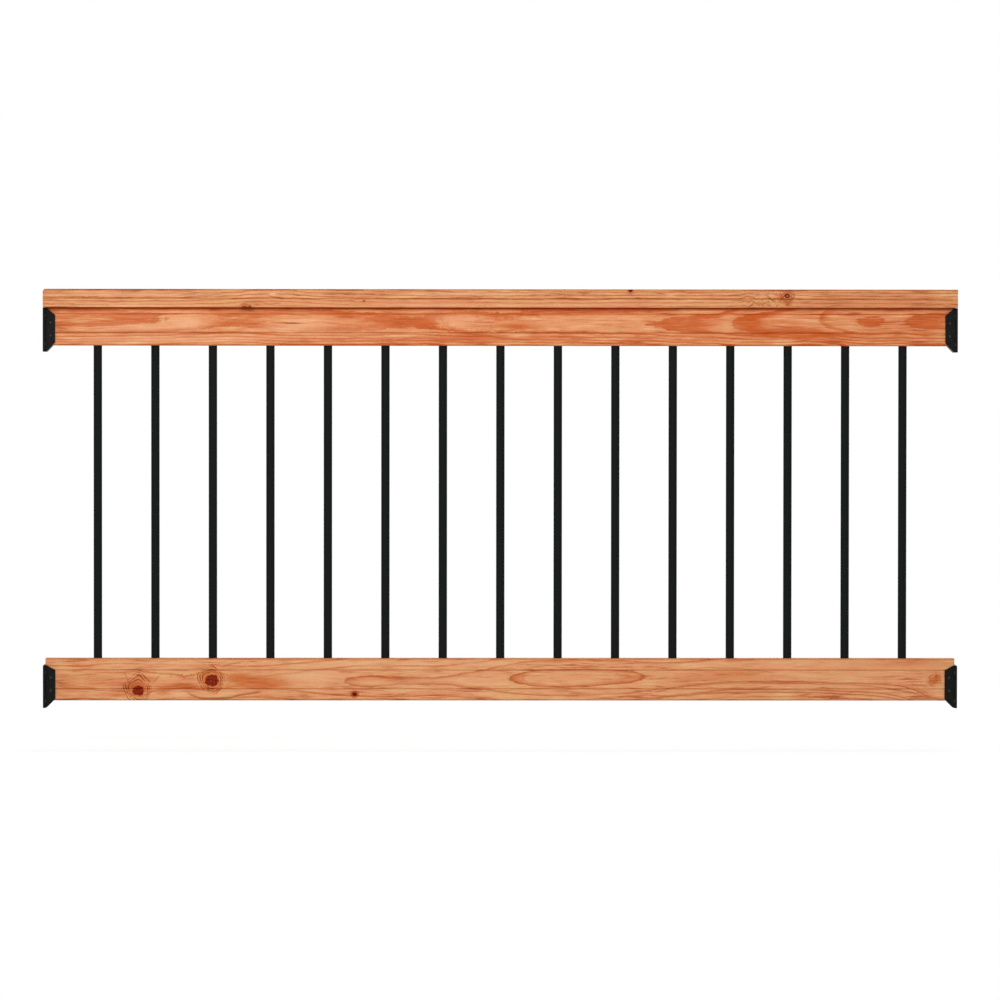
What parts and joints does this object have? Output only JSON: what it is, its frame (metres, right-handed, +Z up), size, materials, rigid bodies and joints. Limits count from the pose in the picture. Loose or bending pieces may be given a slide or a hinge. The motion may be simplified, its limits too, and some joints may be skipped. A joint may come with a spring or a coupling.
{
  "type": "deck railing section",
  "caption": "Straight deck railing section: timber handrail cap, grooved top and bottom rails, round metal balusters in drilled sockets, and end brackets that screw to the posts.",
  "frame": {"origin": "on the left post's face, at the centre of the lower left bracket's plate", "axes": "+X along the railing from the left post to the right one, +Y to the back, +Z up"},
  "size_m": [1.829, 0.0844, 0.838],
  "materials": {
    "timber": "planed, stained orange-brown",
    "baluster": "satin black coating",
    "bracket": "matte black coating"
  },
  "bodies": {
    "root": {"handrail_cap": "timber", "top_rail": "timber", "bottom_rail": "timber", "baluster_01": "baluster", "baluster_02": "baluster", "baluster_03": "baluster", "baluster_04": "baluster", "baluster_05": "baluster", "baluster_06": "baluster", "baluster_07": "baluster", "baluster_08": "baluster", "baluster_09": "baluster", "baluster_10": "baluster", "baluster_11": "baluster", "baluster_12": "baluster", "baluster_13": "baluster", "baluster_14": "baluster", "baluster_15": "baluster", "bracket_lower_left": "bracket", "bracket_lower_right": "bracket", "bracket_upper_left": "bracket", "bracket_upper_right": "bracket"}
  },
  "joints": []
}
